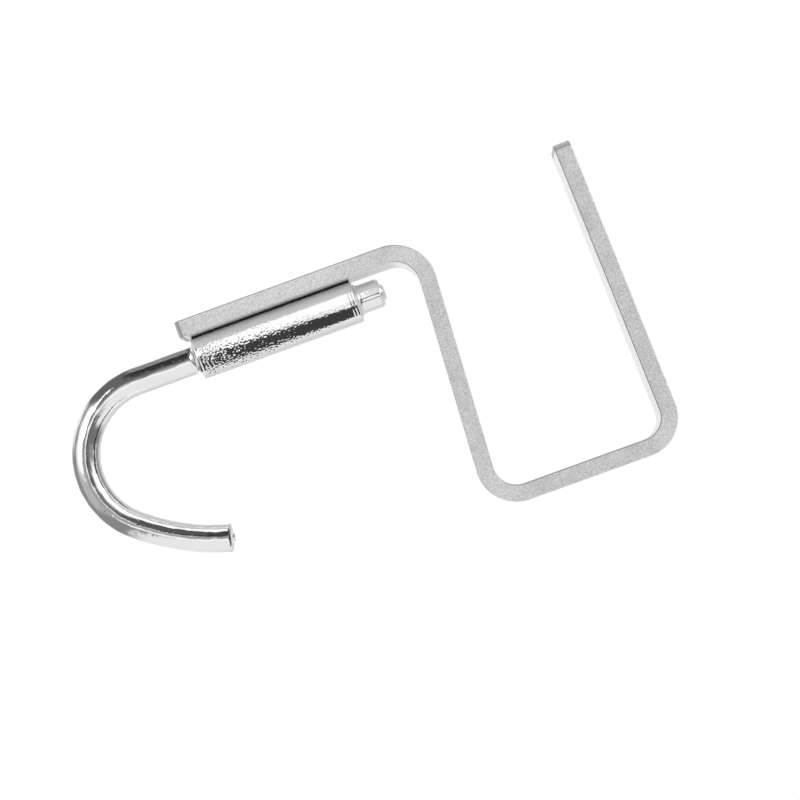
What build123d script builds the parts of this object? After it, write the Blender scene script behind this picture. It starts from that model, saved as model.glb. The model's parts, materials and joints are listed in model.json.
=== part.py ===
from build123d import *
import os
from math import cos, radians, sqrt, tan

# Desk bag hook: a bent steel clamp, a barrel welded to its arm, and a hook that swivels in the barrel.
#
# Millimetres and degrees. The desktop slides in between the two legs from -X. The origin is the
# middle of the foot's inner face, which lies against the desktop's edge. +X points at the user,
# +Z is up, and Y runs along the desk's edge. The part is the same on both sides of the XZ plane.

# Clamp bracket: one flat strip, bent three times
BAR_THICKNESS = 2.6
BAR_WIDTH = 10.0
FOOT_GAP = 26.7
THROAT_DEPTH = 38.3
UPPER_LEG_REACH = 46.5
UPPER_LEG_LEAN = 1.8
LOWER_LEG_LEAN = 3.3
ARM_LENGTH = 38.85
ARM_BEND_RADIUS = 3.9
LOWER_BEND_RADIUS = 3.6
UPPER_BEND_RADIUS = 3.4
LEG_END_CHAMFER = 0.85
ARM_END_CHAMFER = 0.65
BAR_EDGE_RADIUS = 0.2

# Swivel barrel: a short tube along the arm
BARREL_DIAMETER = 6.75
BARREL_LENGTH = 26.1
BARREL_RIM_RADIUS = 0.3
BORE_RIM_CHAMFER = 0.15
ARM_OVERHANG = 1.15

# Weld seams in the two crevices between barrel and arm
SEAM_ROOT = 0.5
SEAM_WIDTH_ON_ARM = 1.3
SEAM_WIDTH_ON_BARREL = 1.0

# Hook: a round rod with a straight shank, two swaged shoulders and an open bowl
ROD_DIAMETER = 4.5
RUNNING_CLEARANCE = 0.05
END_PLAY = 0.05
SHOULDER_DIAMETER = 5.3
UPPER_SHOULDER_LENGTH = 0.9
LOWER_SHOULDER_LENGTH = 1.3
PIN_LENGTH = 3.95
PIN_CHAMFER_LENGTH = 0.45
PIN_CHAMFER_DEPTH = 0.3
PIN_NUB_DIAMETER = 2.65
PIN_NUB_LENGTH = 0.5
SHANK_BELOW_BARREL = 10.0
BOWL_RADIUS = 11.76
BOWL_TURN = 140.0
TIP_RADIUS = 33.5
TIP_TURN = 26.0
TIP_EDGE_RADIUS = 0.45
TIP_NUB_DIAMETER = 1.5
TIP_NUB_LENGTH = 0.35

# Sizes that follow from those above
bar_half = BAR_THICKNESS / 2
half_width = BAR_WIDTH / 2
barrel_radius = BARREL_DIAMETER / 2
rod_radius = ROD_DIAMETER / 2
bore_radius = rod_radius + RUNNING_CLEARANCE
shoulder_radius = SHOULDER_DIAMETER / 2
pin_nub_radius = PIN_NUB_DIAMETER / 2
tip_nub_radius = TIP_NUB_DIAMETER / 2


def lower_leg_z(x):
    """Height of the lower leg's middle line. The leg rises towards its bend into the arm."""
    middle_line = FOOT_GAP / 2 + bar_half / cos(radians(LOWER_LEG_LEAN))
    return -middle_line - x * tan(radians(LOWER_LEG_LEAN))


def upper_leg_z(x):
    """Height of the upper leg's middle line. The leg falls towards its free end."""
    middle_line = FOOT_GAP / 2 + bar_half / cos(radians(UPPER_LEG_LEAN))
    return middle_line + x * tan(radians(UPPER_LEG_LEAN))


# Places, all measured from the foot's inner face
foot_x = bar_half
arm_face_x = -THROAT_DEPTH
arm_x = arm_face_x - bar_half
leg_end_x = -UPPER_LEG_REACH
arm_end_z = lower_leg_z(arm_x) - ARM_LENGTH
barrel_x = arm_face_x + barrel_radius
barrel_bottom_z = arm_end_z + ARM_OVERHANG
barrel_top_z = barrel_bottom_z + BARREL_LENGTH
bend_start_z = barrel_bottom_z - SHANK_BELOW_BARREL
pin_top_z = barrel_top_z + PIN_LENGTH


def barrel_face_x(y):
    """Where the barrel's outer surface, on the arm's side, lies at a distance y from its middle."""
    return barrel_x - sqrt(barrel_radius**2 - y**2)


os.makedirs("parts", exist_ok=True)

# Clamp bracket: the strip's middle line is given its thickness, then its width on both sides
strip_corners = [
    (arm_x, arm_end_z),
    (arm_x, lower_leg_z(arm_x)),
    (foot_x, lower_leg_z(foot_x)),
    (foot_x, upper_leg_z(foot_x)),
    (leg_end_x, upper_leg_z(leg_end_x)),
]
middle_line_radii = [
    ARM_BEND_RADIUS + bar_half,
    LOWER_BEND_RADIUS + bar_half,
    UPPER_BEND_RADIUS + bar_half,
]
with BuildPart() as clamp_bracket:
    with BuildSketch(Plane.XZ):
        with BuildLine():
            FilletPolyline(*strip_corners, radius=middle_line_radii)
        trace(line_width=BAR_THICKNESS)
    extrude(amount=half_width, both=True)
    arm_end_face = faces().sort_by_distance((arm_x, 0, arm_end_z))[0]
    leg_end_face = faces().sort_by_distance((leg_end_x, 0, upper_leg_z(leg_end_x)))[0]
    chamfer(arm_end_face.edges().sort_by(SortBy.LENGTH)[:2], length=ARM_END_CHAMFER)
    chamfer(leg_end_face.edges().sort_by(SortBy.LENGTH)[:2], length=LEG_END_CHAMFER)
    side_faces = faces().sort_by(Axis.Y)
    fillet(side_faces[0].edges() + side_faces[-1].edges(), radius=BAR_EDGE_RADIUS)

clamp_bracket.part.label = "clamp_bracket"
export_step(clamp_bracket.part, "parts/clamp_bracket.step")

# Swivel barrel: it touches the arm's inner face along one line
with BuildPart() as swivel_barrel:
    with BuildSketch(Plane((barrel_x, 0, barrel_bottom_z))):
        Circle(barrel_radius)
        Circle(bore_radius, mode=Mode.SUBTRACT)
    extrude(amount=BARREL_LENGTH)
    bore_rims = edges().filter_by(GeomType.CIRCLE).sort_by(SortBy.RADIUS)[:2]
    chamfer(bore_rims, length=BORE_RIM_CHAMFER)
    outer_rims = edges().filter_by(GeomType.CIRCLE).sort_by(SortBy.RADIUS)[-2:]
    fillet(outer_rims, radius=BARREL_RIM_RADIUS)

swivel_barrel.part.label = "swivel_barrel"
export_step(swivel_barrel.part, "parts/swivel_barrel.step")

# Weld seams: each fills its crevice from near the line of contact outwards
seam_middle = (SEAM_ROOT + SEAM_WIDTH_ON_BARREL) / 2
seam_length = BARREL_LENGTH - 2 * BARREL_RIM_RADIUS
seam_plane = Plane.XY.offset(barrel_bottom_z + BARREL_RIM_RADIUS)
for seam_name, side in (("front_weld", -1), ("rear_weld", 1)):
    with BuildPart() as weld_seam:
        with BuildSketch(seam_plane):
            with BuildLine():
                Line((arm_face_x, side * SEAM_ROOT), (arm_face_x, side * SEAM_WIDTH_ON_ARM))
                Line(
                    (arm_face_x, side * SEAM_WIDTH_ON_ARM),
                    (barrel_face_x(SEAM_WIDTH_ON_BARREL), side * SEAM_WIDTH_ON_BARREL),
                )
                ThreePointArc(
                    (barrel_face_x(SEAM_WIDTH_ON_BARREL), side * SEAM_WIDTH_ON_BARREL),
                    (barrel_face_x(seam_middle), side * seam_middle),
                    (barrel_face_x(SEAM_ROOT), side * SEAM_ROOT),
                )
                Line((barrel_face_x(SEAM_ROOT), side * SEAM_ROOT), (arm_face_x, side * SEAM_ROOT))
            make_face()
        extrude(amount=seam_length)

    weld_seam.part.label = seam_name
    export_step(weld_seam.part, f"parts/{seam_name}.step")

# Hook: the shank is turned about the barrel's axis, then the bowl and the tip follow two arcs
lower_shoulder_z = barrel_bottom_z - END_PLAY
upper_shoulder_z = barrel_top_z + END_PLAY
shank_profile = [
    (0, bend_start_z),
    (rod_radius, bend_start_z),
    (rod_radius, lower_shoulder_z - LOWER_SHOULDER_LENGTH),
    (shoulder_radius, lower_shoulder_z),
    (rod_radius, lower_shoulder_z),
    (rod_radius, upper_shoulder_z),
    (shoulder_radius, upper_shoulder_z),
    (rod_radius, upper_shoulder_z + UPPER_SHOULDER_LENGTH),
    (rod_radius, pin_top_z - PIN_CHAMFER_LENGTH),
    (rod_radius - PIN_CHAMFER_DEPTH, pin_top_z),
    (pin_nub_radius, pin_top_z),
    (pin_nub_radius, pin_top_z + PIN_NUB_LENGTH),
    (0, pin_top_z + PIN_NUB_LENGTH),
]
shank_plane = Plane(origin=(barrel_x, 0, 0), x_dir=(1, 0, 0), z_dir=(0, -1, 0))
with BuildPart() as hook:
    with BuildSketch(shank_plane):
        with BuildLine():
            Polyline(*shank_profile, close=True)
        make_face()
    revolve(axis=Axis((barrel_x, 0, 0), (0, 0, 1)))
    with BuildLine(Plane.XZ) as rod_path:
        bowl = JernArc((barrel_x, bend_start_z), (0, -1), BOWL_RADIUS, BOWL_TURN)
        tip = JernArc(bowl @ 1, bowl % 1, TIP_RADIUS, TIP_TURN)
    with BuildSketch(Plane(origin=bowl @ 0, z_dir=bowl % 0)):
        Circle(rod_radius)
    sweep(path=rod_path.wire())
    tip_face = faces().sort_by_distance(tip @ 1)[0]
    fillet(tip_face.edges(), radius=TIP_EDGE_RADIUS)
    with BuildSketch(Plane(origin=tip @ 1, z_dir=tip % 1)):
        Circle(tip_nub_radius)
    extrude(amount=TIP_NUB_LENGTH)

hook.part.label = "hook"
export_step(hook.part, "parts/hook.step")
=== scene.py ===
"""Looks of a desk bag hook: a bent satin strip, a pebbled barrel welded to it and a polished swivel hook.

Lengths are in metres and angles in degrees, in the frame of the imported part: the foot's inner face
lies at X = 0, +X points at the user, +Z is up and Y runs along the desk's edge.
"""

import json
import logging
import math
from dataclasses import dataclass
from enum import Enum

import bpy
import numpy as np
from mathutils import Matrix, Vector

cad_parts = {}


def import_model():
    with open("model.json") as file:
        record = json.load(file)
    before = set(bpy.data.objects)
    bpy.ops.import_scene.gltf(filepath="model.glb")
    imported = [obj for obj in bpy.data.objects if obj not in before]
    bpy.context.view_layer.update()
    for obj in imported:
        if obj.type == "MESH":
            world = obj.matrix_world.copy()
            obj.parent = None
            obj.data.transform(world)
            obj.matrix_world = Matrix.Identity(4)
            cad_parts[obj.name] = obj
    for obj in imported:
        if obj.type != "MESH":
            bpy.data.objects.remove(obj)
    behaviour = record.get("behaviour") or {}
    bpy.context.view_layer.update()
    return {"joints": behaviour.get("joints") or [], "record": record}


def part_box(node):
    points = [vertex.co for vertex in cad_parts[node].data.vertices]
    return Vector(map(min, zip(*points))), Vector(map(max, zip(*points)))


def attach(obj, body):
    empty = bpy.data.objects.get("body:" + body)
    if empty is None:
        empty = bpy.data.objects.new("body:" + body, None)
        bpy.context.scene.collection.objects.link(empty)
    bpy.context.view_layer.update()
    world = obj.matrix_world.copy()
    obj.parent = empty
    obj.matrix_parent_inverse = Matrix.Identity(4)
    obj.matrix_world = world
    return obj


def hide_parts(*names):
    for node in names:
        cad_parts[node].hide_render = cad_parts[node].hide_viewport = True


MM = 0.001
SEED = 7
SHARP_ANGLE = 32.0
FIRST_REFLECTION = 1

Array = np.ndarray
Socket = bpy.types.NodeSocket
Colour = tuple[float, float, float]
Span = tuple[float, float]

log = logging.getLogger("desk_bag_hook")


class Body(Enum):
    """The two bodies that the joint parts."""

    CLAMP = "clamp"
    HOOK = "hook"


class Slot(Enum):
    """The record's material slots."""

    STRIP = "satin_plate"
    BARREL = "pebbled_chrome"
    ROD = "polished_chrome"
    WELD = "weld"


class Side(Enum):
    """The two long sides of the barrel, with the sign of their Y."""

    FRONT = -1
    REAR = 1


# Meshes


def add_item(name: str, data: bpy.types.ID) -> bpy.types.Object:
    """Adds an object with a mesh, light or camera to the scene, at the origin.

    Args:
        name: the object's name.
        data: its mesh, light or camera.

    Returns:
        The object.
    """
    item = bpy.data.objects.new(name, data)
    bpy.context.scene.collection.objects.link(item)
    return item


def ring_quads(rings: int, around: int, closed: bool) -> Array:
    """Joins neighbouring rings of a grid by quads.

    Args:
        rings: how many rings the grid has.
        around: how many points each ring has.
        closed: whether the last ring joins the first one.

    Returns:
        Rows of four vertex numbers.
    """
    here = np.arange(rings if closed else rings - 1)[:, None] * around
    there = (here + around) % (rings * around)
    point = np.arange(around)
    beside = (point + 1) % around
    return np.stack([here + point, here + beside, there + beside, there + point], -1).reshape(-1, 4)


def cap_triangles(start: int, around: int, pole: int, turned: bool) -> Array:
    """Closes the ring that starts at one vertex by triangles that meet in a pole, turned round or not."""
    ring, order = start + np.arange(around), [1, 0, 2] if turned else [0, 1, 2]
    return np.stack([ring, np.roll(ring, -1), np.full(around, pole)], -1)[:, order]


def enclosed_volume(points: Array, triangles: Array) -> float:
    """Signed volume: a sixth of the sum of each triangle's triple product."""
    a, b, c = (points[triangles[:, i]] for i in range(3))
    return float(np.einsum("ij,ij->i", a, np.cross(b, c)).sum() / 6)


def closed_mesh(name: str, grid: Array, closed: bool, travel: Array) -> bpy.types.Object:
    """Makes a smooth closed mesh of a grid of rings, with a UV map that runs along and round it.

    Args:
        name: the piece's name.
        grid: points of shape (rings, points in a ring, 3).
        closed: whether the last ring joins the first; otherwise both ends get a pole.
        travel: the length along the piece at each ring.

    Returns:
        The new object, at the origin.
    """
    rings, around = grid.shape[:2]
    points = grid.reshape(-1, 3)
    quads, caps = ring_quads(rings, around, closed), np.zeros((0, 3), int)
    if not closed:
        pole = len(points)
        points = np.vstack([points, grid[0].mean(0), grid[-1].mean(0)])
        last_cap = cap_triangles(pole - around, around, pole + 1, False)
        caps = np.vstack([cap_triangles(0, around, pole, True), last_cap])
    inward = enclosed_volume(points, np.vstack([quads[:, [0, 1, 2]], quads[:, [0, 2, 3]], caps])) < 0
    if inward:
        quads, caps = quads[:, ::-1], caps[:, ::-1]
    mesh = bpy.data.meshes.new(name)
    mesh.from_pydata(points.tolist(), [], quads.tolist() + caps.tolist())
    mesh.polygons.foreach_set("use_smooth", np.ones(len(mesh.polygons), bool))
    add_uv_map(mesh, len(quads), around, travel, inward)
    mesh.set_sharp_from_angle(angle=math.radians(SHARP_ANGLE))
    mesh.update()
    return add_item(name, mesh)


def add_uv_map(mesh: bpy.types.Mesh, quads: int, around: int, travel: Array, inward: bool) -> None:
    """Adds a UV map: U is the length along the piece and V the share of the way round it.

    Args:
        mesh: the mesh, whose quads come first and run ring by ring.
        quads: how many quads it has.
        around: how many points each ring has.
        travel: the length along the piece at each ring.
        inward: whether the quads were turned round.
    """
    ring, point = np.divmod(np.arange(quads), around)
    after = (ring + 1) % len(travel)
    length = np.stack([travel[ring], travel[ring], travel[after], travel[after]], -1)
    share = np.stack([point, point + 1, point + 1, point], -1) / around
    corners = np.stack([length, share], -1)
    values = np.zeros(len(mesh.loops) * 2)
    values[: corners.size] = (corners[:, ::-1] if inward else corners).ravel()
    mesh.uv_layers.new(name="along").data.foreach_set("uv", values)


def add_attribute(piece: bpy.types.Object, name: str, values: Array) -> None:
    """Stores a number for each point of a piece's grid, which its material reads; poles get zero."""
    padded = np.pad(values.astype(np.float32).ravel(), (0, len(piece.data.vertices) - values.size))
    piece.data.attributes.new(name, "FLOAT", "POINT").data.foreach_set("value", padded)


def smooth_step(share: Array) -> Array:
    """Rises from 0 to 1 with level ends: three times the square less twice the cube."""
    held = np.clip(share, 0, 1)
    return held * held * (3 - 2 * held)


@dataclass(frozen=True)
class Ripple:
    """A random but repeatable unevenness of a surface that is closed round one way.

    Attributes:
        wavelength: the usual distance from crest to crest.
        waves: how many plane waves are summed.
        seed: the start of the random draw.
        stretch: how much longer the waves are along the piece than round it.
        crest: the height that counts as a full one.
    """

    wavelength: float
    waves: int
    seed: int
    stretch: float = 1.0
    crest: float = 2.4

    PACE_SHARES = (0.6, 1.4)

    def heights(self, along: Array, angle: Array, radius: float) -> Array:
        """Sums plane waves of random directions and phases over a grid.

        The height at length s and angle t is the sum of cos(k s + m t + phase), times the root of
        two over the number of waves. Each m is whole, so that the surface closes on itself. Each
        wave's pace is a random share of the usual one, 2 pi over the wavelength.

        Args:
            along: the length of each ring.
            angle: the angle of each point in a ring, in radians.
            radius: the radius at which a wave round the piece has its wavelength.

        Returns:
            Heights of about unit size, of shape (rings, points in a ring).
        """
        draw = np.random.default_rng(self.seed)
        heading = draw.uniform(0, math.pi, self.waves)
        pace = 2 * math.pi / self.wavelength * draw.uniform(*self.PACE_SHARES, self.waves)
        phase = draw.uniform(0, 2 * math.pi, self.waves)
        swing = along[:, None] * (pace * np.cos(heading) / self.stretch) + phase
        turning = np.round(pace * np.sin(heading) * radius)[:, None] * angle
        total = np.cos(swing) @ np.cos(turning) - np.sin(swing) @ np.sin(turning)
        return total * math.sqrt(2 / self.waves)

    def held(self, along: Array, angle: Array, radius: float) -> Array:
        """The heights over their crest, held between -1 and 1."""
        return np.clip(self.heights(along, angle, radius) / self.crest, -1, 1)


@dataclass(frozen=True)
class Pits:
    """Pits in a surface, where a ripple rises over a threshold.

    Attributes:
        ripple: the ripple.
        depth: how deep a full pit is.
        threshold: the height over which a pit starts.
        reach: how much higher the ripple is where a pit is full.
        power: how slowly a pit's flank steepens.
    """

    ripple: Ripple
    depth: float
    threshold: float
    reach: float = 1.0
    power: float = 1.0

    def sunk(self, along: Array, angle: Array, radius: float) -> Array:
        """The depth times a power of the height over the threshold, over the reach and held at 1."""
        over = self.ripple.heights(along, angle, radius) - self.threshold
        return self.depth * np.clip(over / self.reach, 0, 1) ** self.power


@dataclass(frozen=True)
class MiddleLine:
    """A line in the XZ plane that a section is carried along.

    Attributes:
        points: X and Z of each point.
        headings: the unit direction at each point.
        bending: 1 in the middle of a left turn, -1 in a right turn and 0 on a straight run.
    """

    points: Array
    headings: Array
    bending: Array

    @property
    def travel(self) -> Array:
        """The length from the first point to each point."""
        steps = np.linalg.norm(np.diff(self.points, axis=0), axis=1)
        return np.concatenate([[0.0], np.cumsum(steps)])

    def carry(self, left: Array, across: Array) -> Array:
        """Places a section at every point of the line.

        A section's point lies at the line's point, plus its left offset along the line's left
        normal, plus its across offset along Y.

        Args:
            left: offsets to the line's left, of shape (points on the line, points in a section).
            across: offsets along Y, of the same shape.

        Returns:
            Points of shape (points on the line, points in a section, 3).
        """
        normal = np.stack([-self.headings[:, 1], self.headings[:, 0]], -1)
        flat = self.points[:, None, :] + left[:, :, None] * normal[:, None, :]
        return np.stack([flat[..., 0], across, flat[..., 1]], -1)


class LineMaker:
    """Draws a middle line from straight runs and arcs, whose bending ramps up and down at their ends."""

    RUN_STEP = 0.6 * MM
    ARC_STEP = 2.5
    RAMP_SHARE = 0.35

    def __init__(self, start: Array, heading: Array) -> None:
        """Starts the line at a point, in a direction."""
        self.points, self.headings = [np.array([start], float)], [np.array([heading], float)]
        self.bending = [np.zeros(1)]

    def run(self, length: float, step: float = RUN_STEP) -> None:
        """Adds a straight run.

        Args:
            length: how long it is.
            step: the most between two points.
        """
        count = max(math.ceil(length / step), 1)
        heading = self.headings[-1][-1]
        self.points.append(self.points[-1][-1] + np.linspace(0, length, count + 1)[1:, None] * heading)
        self.headings.append(np.repeat(heading[None, :], count, axis=0))
        self.bending.append(np.zeros(count))

    def arc(self, radius: float, turn: float, step: float = ARC_STEP) -> None:
        """Adds a tangent arc: the heading turns steadily, and the centre lies a radius to its side.

        Args:
            radius: the arc's radius.
            turn: how far it turns, with a left turn positive.
            step: the most that it turns between two points.
        """
        count = max(math.ceil(abs(turn) / step), 2)
        share = np.linspace(0, 1, count + 1)[1:]
        angle = (np.radians(turn) * share)[:, None]
        side = math.copysign(1.0, turn)
        along = self.headings[-1][-1]
        left = np.array([-along[1], along[0]])
        out = -side * radius * left
        centre = self.points[-1][-1] - out
        self.points.append(centre + np.cos(angle) * out + np.sin(angle) * (side * radius * along))
        self.headings.append(np.cos(angle) * along + np.sin(angle) * left)
        self.bending.append(side * smooth_step(np.minimum(share, 1 - share) / self.RAMP_SHARE))

    def done(self) -> MiddleLine:
        """Joins the runs and arcs."""
        return MiddleLine(*(np.concatenate(parts) for parts in (self.points, self.headings, self.bending)))


# Finishes


class NodeBench:
    """Wires the nodes of one tree."""

    def __init__(self, tree: bpy.types.NodeTree) -> None:
        """Empties the tree."""
        self.tree = tree
        self.tree.nodes.clear()

    def feed(self, target: Socket, value: Socket | float | Colour) -> None:
        """Links an output to an input, or sets the input to a number or a colour.

        Args:
            target: the input.
            value: the output, number or colour.
        """
        if isinstance(value, Socket):
            self.tree.links.new(value, target)
        else:
            target.default_value = (*value, 1) if target.type == "RGBA" else value

    def fill(self, node: bpy.types.Node, **values: object) -> bpy.types.Node:
        """Feeds a node's inputs by name, and sets its properties where it has no such input.

        Args:
            node: the node.
            values: what each input or property gets.

        Returns:
            The node.
        """
        for name, value in values.items():
            label = name.replace("_", " ").title()
            if label in node.inputs:
                self.feed(node.inputs[label], value)
            else:
                setattr(node, name, value)
        return node

    def add(self, kind: str, **values: object) -> bpy.types.Node:
        """Adds a shader node of a kind and fills it."""
        return self.fill(self.tree.nodes.new("ShaderNode" + kind), **values)

    def work_out(self, operation: str, *terms: Socket | float | Vector, kind: str = "Math") -> Socket:
        """Works out one sum of a kind, such as MULTIPLY.

        Args:
            operation: the kind of sum.
            terms: its outputs or numbers.
            kind: the kind of node that can do it.

        Returns:
            The result.
        """
        node = self.add(kind, operation=operation)
        for target, term in zip(node.inputs, terms):
            self.feed(target, term)
        return node.outputs["Value"]

    def spread(self, value: Socket, source: Span, target: Span, smooth: bool = False) -> Socket:
        """Maps one range of numbers to another, and holds it there.

        Args:
            value: the number.
            source: the range that it comes from.
            target: the range that it goes to.
            smooth: whether the change has level ends.

        Returns:
            The mapped number.
        """
        shape = "SMOOTHSTEP" if smooth else "LINEAR"
        ends = {"from_min": source[0], "from_max": source[1], "to_min": target[0], "to_max": target[1]}
        return self.add("MapRange", interpolation_type=shape, value=value, **ends).outputs["Result"]

    def blend(self, share: Socket, first: Socket | float | Colour, second: Socket | float | Colour,
              colours: bool = False) -> Socket:
        """Mixes two numbers or two colours by a share.

        Args:
            share: the share of the second.
            first: the first number or colour.
            second: the second.
            colours: whether they are colours.

        Returns:
            The mixed number or colour.
        """
        node = self.add("Mix", data_type="RGBA" if colours else "FLOAT")
        places = (0, 6, 7) if colours else (0, 2, 3)
        for place, value in zip(places, (share, first, second)):
            self.feed(node.inputs[place], value)
        return node.outputs[2 if colours else 0]

    def ray(self, fact: str) -> Socket:
        """One fact of the light's path."""
        return self.add("LightPath").outputs[fact]

    def deeper_than(self, depth: int) -> Socket:
        """1 for light whose path is longer than a depth, and 0 before."""
        return self.work_out("GREATER_THAN", self.ray("Ray Depth"), depth + 0.5)


class FinishBench(NodeBench):
    """Wires the nodes of a new material."""

    FINER_SHARE = 0.6

    def __init__(self, name: str) -> None:
        """Makes a node material with a shader and an output.

        Args:
            name: the material's name.
        """
        self.material = bpy.data.materials.new(name)
        self.material.use_nodes = True
        super().__init__(self.material.node_tree)
        self.shader = self.add("BsdfPrincipled")
        self.add("OutputMaterial", surface=self.shader.outputs["BSDF"])

    def dress(self, **values: object) -> bpy.types.Material:
        """Fills the shader, and hands over the material."""
        self.fill(self.shader, **values)
        return self.material

    def stored(self, name: str) -> Socket:
        """A number that the mesh stores at each of its points."""
        return self.add("Attribute", attribute_name=name).outputs["Fac"]

    def noise(self, grain: float, detail: float = 2.0) -> Socket:
        """Noise in the piece's own coordinates: lumps of one grain, and finer ones, each a share as high."""
        numbers = {"scale": 1 / grain, "detail": detail, "roughness": self.FINER_SHARE}
        return self.add("TexNoise", vector=self.add("TexCoord").outputs["Object"], **numbers).outputs["Fac"]

    def bump(self, height: Socket, depth: float, strength: float) -> Socket:
        """Tilts the surface by a height map whose full range is one depth."""
        return self.add("Bump", strength=strength, distance=depth, height=height).outputs["Normal"]


@dataclass(frozen=True)
class SatinPlate:
    """Silver plating: blasted and speckled on the cut sides, smoother and brighter on the rolled faces.

    Attributes:
        dark, light, groove, rolled: the colours of the grains, the painted edge shade and the rolled faces.
        rolled_share: how much of the rolled colour covers the speckle there.
        bend_light_share, cloud_share: how much lighter the painted light on bends and the clouds are,
            between dark and light.
        speckle, clouding: the range of the noise over which each goes from dark to light.
        grain, cloud: the size of the speckles and of the clouds.
        metal_share: the share of the light that is reflected as metal does.
        roughness_change: how much rougher and smoother the clouds make it.
        relief, relief_strength, relief_grain_share: the blasted relief's depth, tilt and finer grain.
        coat_share: the share of the clear lacquer, which shows at a glancing angle.
    """

    dark: Colour = (0.42, 0.42, 0.42)
    light: Colour = (0.82, 0.82, 0.82)
    edge_shade_colour: Colour = (0.34, 0.34, 0.34)
    rolled: Colour = (0.80, 0.80, 0.80)
    rolled_share: float = 0.8
    rolled_roughness: float = 0.32
    bend_light_share: float = 0.12
    cloud_share: float = 0.08
    speckle: Span = (0.24, 0.76)
    clouding: Span = (0.3, 0.7)
    grain: float = 0.22 * MM
    cloud: float = 3.0 * MM
    metal_share: float = 0.22
    roughness: float = 0.5
    roughness_change: float = 0.03
    relief: float = 0.02 * MM
    relief_strength: float = 0.6
    relief_grain_share: float = 0.8
    coat_share: float = 0.22
    coat_roughness: float = 0.2

    def material(self) -> bpy.types.Material:
        """Speckle in colour and height from two noises, under a faint broad cloud.

        The attributes "bend", "rolled" and "line" say where the strip was bent and gets painted light,
        where it is smoother, and where painted shade darkens its edges and chamfers.

        Returns:
            The material.
        """
        bench = FinishBench("satin_plate")
        speckle, cloud = bench.noise(self.grain), bench.noise(self.cloud)
        rolled = bench.stored("rolled")
        clouds = bench.spread(cloud, self.clouding, (-self.cloud_share, self.cloud_share))
        # Painted light: the bends are painted lighter.
        bends = bench.spread(bench.stored("bend"), (0, 1), (0, self.bend_light_share))
        share = bench.work_out("ADD", bench.spread(speckle, self.speckle, (0, 1)), clouds)
        plate = bench.blend(bench.work_out("ADD", share, bends), self.dark, self.light, colours=True)
        smoother = bench.work_out("MULTIPLY", rolled, self.rolled_share)
        plate = bench.blend(smoother, plate, self.rolled, colours=True)
        least, most = self.roughness - self.roughness_change, self.roughness + self.roughness_change
        cut = bench.spread(cloud, self.clouding, (least, most))
        relief = bench.noise(self.grain * self.relief_grain_share)
        return bench.dress(
            # The "line" attribute blends in painted shade on the edges and chamfers.
            base_color=bench.blend(bench.stored("line"), plate, self.edge_shade_colour, colours=True),
            metallic=self.metal_share,
            roughness=bench.blend(rolled, cut, self.rolled_roughness),
            coat_weight=self.coat_share,
            coat_roughness=self.coat_roughness,
            normal=bench.bump(relief, self.relief, self.relief_strength),
        )


@dataclass(frozen=True)
class MirrorChrome:
    """Mirror chrome over a surface that is not quite smooth.

    Attributes:
        grain, relief, strength: the size, height and tilt of its fine lumps.
        rougher: how much rougher its roughest places are.
        stored: the attribute that the lumps fade with, if there is one.
        lumps: the range of the noise over which it goes from least to most rough.
    """

    name: str
    colour: Colour
    grain: float
    relief: float
    roughness: float
    rougher: float
    stored: str = ""
    lumps: Span = (0.3, 0.75)
    strength: float = 0.5

    def material(self) -> bpy.types.Material:
        """One noise for the roughness and the fine lumps, which add to those of the mesh.

        Returns:
            The material.
        """
        bench = FinishBench(self.name)
        noise = bench.noise(self.grain)
        height = bench.work_out("MULTIPLY", noise, bench.stored(self.stored)) if self.stored else noise
        return bench.dress(
            base_color=self.colour,
            metallic=1.0,
            roughness=bench.spread(noise, self.lumps, (self.roughness, self.roughness + self.rougher)),
            normal=bench.bump(height, self.relief, self.strength),
        )


PEBBLED = MirrorChrome("pebbled_chrome", (0.86, 0.86, 0.865), 0.22 * MM, 0.016 * MM, 0.09, 0.04, "pebbled")
POLISHED = MirrorChrome("polished_chrome", (0.88, 0.88, 0.885), 0.25 * MM, 0.01 * MM, 0.035, 0.03)


@dataclass(frozen=True)
class WeldWithPaintedShade:
    """Rough weld metal, coloured nearly black as painted shade in the crevice between the barrel and the
    arm.

    Attributes:
        detail: how many finer layers its grains have.
        lighter, uneven: the ranges of the noise over which it gets lighter, and rougher.
        rougher: how much rougher its roughest places are.
        relief, strength: the height and tilt of its grains.
    """

    dark: Colour = (0.04, 0.04, 0.042)
    light: Colour = (0.16, 0.155, 0.15)
    grain: float = 0.35 * MM
    detail: float = 4.0
    lighter: Span = (0.45, 0.75)
    uneven: Span = (0.3, 0.7)
    metal_share: float = 0.4
    roughness: float = 0.6
    rougher: float = 0.2
    relief: float = 0.08 * MM
    strength: float = 0.8

    def material(self) -> bpy.types.Material:
        """Painted crevice shade with small lighter grains, from one noise.

        Returns:
            The material.
        """
        bench = FinishBench("dark_weld")
        scale = bench.noise(self.grain, self.detail)
        share = bench.spread(scale, self.lighter, (0, 1))
        return bench.dress(
            # The dark colour is painted shade of the crevice.
            base_color=bench.blend(share, self.dark, self.light, colours=True),
            metallic=self.metal_share,
            roughness=bench.spread(scale, self.uneven, (self.roughness, self.roughness + self.rougher)),
            normal=bench.bump(scale, self.relief, self.strength),
        )


# Pieces


def finish_piece(piece: bpy.types.Object, material: bpy.types.Material, body: Body,
                 node: str) -> None:
    """Dresses a piece, and makes it ride on its body in place of its node.

    Args:
        piece: the finished mesh.
        material: its finish.
        body: the body that it moves with.
        node: the node that it stands for.
    """
    piece.data.materials.append(material)
    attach(piece, body.value)
    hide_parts(node)
    log.info("%s: %d faces, for %s", piece.name, len(piece.data.polygons), node)


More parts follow.
